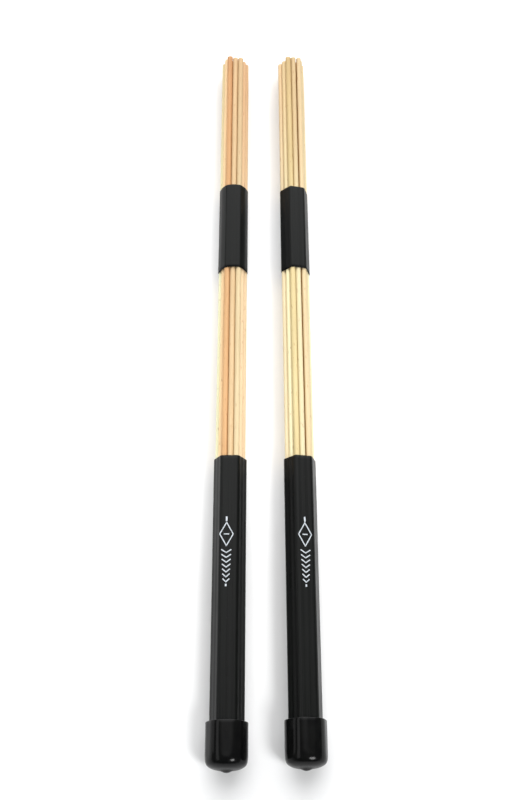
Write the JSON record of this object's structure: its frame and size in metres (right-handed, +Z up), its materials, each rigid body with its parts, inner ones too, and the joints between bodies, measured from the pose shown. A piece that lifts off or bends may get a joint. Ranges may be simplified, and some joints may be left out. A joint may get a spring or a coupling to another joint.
{
  "type": "multi-rod drum sticks",
  "caption": "Drum sticks made of bundled thin wooden dowels, with black shrunk grip sleeves, sliding spread bands and push-on butt caps.",
  "frame": {"origin": "on the surface that the sticks lie on, below the middle of the pair: halfway along their length and midway between them", "axes": "+X to the right seen from the butts, +Y from the butts to the tips, +Z up"},
  "size_m": [0.0572, 0.4061, 0.0204],
  "materials": {
    "wood_cream": "bare wood, pale cream, fine straight grain",
    "wood_straw": "bare wood, light straw yellow, fine straight grain",
    "wood_honey": "bare wood, honey yellow, fine straight grain",
    "wood_tan": "bare wood, orange tan, fine straight grain",
    "wood_rose": "bare wood, beige with a pink cast, fine straight grain",
    "sleeve_black": "satin black heat-shrunk tubing",
    "band_charcoal": "satin charcoal heat-shrunk tubing",
    "cap_black": "glossy black dip-moulded vinyl"
  },
  "bodies": {
    "left_stick": {"left_dowel_01": "wood_straw", "left_dowel_02": "wood_straw", "left_dowel_03": "wood_cream", "left_dowel_04": "wood_rose", "left_dowel_05": "wood_honey", "left_dowel_06": "wood_honey", "left_dowel_07": "wood_cream", "left_dowel_08": "wood_rose", "left_dowel_09": "wood_rose", "left_dowel_10": "wood_cream", "left_dowel_11": "wood_straw", "left_dowel_12": "wood_tan", "left_dowel_13": "wood_straw", "left_dowel_14": "wood_rose", "left_dowel_15": "wood_cream", "left_dowel_16": "wood_straw", "left_dowel_17": "wood_straw", "left_dowel_18": "wood_straw", "left_dowel_19": "wood_cream", "left_grip_sleeve": "sleeve_black", "left_butt_cap": "cap_black"},
    "left_band": {"left_spread_band": "band_charcoal"},
    "right_stick": {"right_dowel_01": "wood_cream", "right_dowel_02": "wood_straw", "right_dowel_03": "wood_straw", "right_dowel_04": "wood_straw", "right_dowel_05": "wood_cream", "right_dowel_06": "wood_rose", "right_dowel_07": "wood_honey", "right_dowel_08": "wood_rose", "right_dowel_09": "wood_straw", "right_dowel_10": "wood_cream", "right_dowel_11": "wood_straw", "right_dowel_12": "wood_honey", "right_dowel_13": "wood_cream", "right_dowel_14": "wood_rose", "right_dowel_15": "wood_honey", "right_dowel_16": "wood_honey", "right_dowel_17": "wood_cream", "right_dowel_18": "wood_straw", "right_dowel_19": "wood_straw", "right_grip_sleeve": "sleeve_black", "right_butt_cap": "cap_black"},
    "right_band": {"right_spread_band": "band_charcoal"}
  },
  "joints": [
    {"name": "left_band_slide", "type": "slide", "parent": "left_stick", "child": "left_band", "axis": [0.0057, 0.9999, -0.0086], "range_m": [-0.108, 0.08]},
    {"name": "right_stick_lift", "type": "slide", "parent": "left_stick", "child": "right_stick", "axis": [0, 0, 1], "range_m": [0, 0.12]},
    {"name": "right_band_slide", "type": "slide", "parent": "right_stick", "child": "right_band", "axis": [-0.0057, 1, -0.007], "range_m": [-0.108, 0.08]}
  ]
}
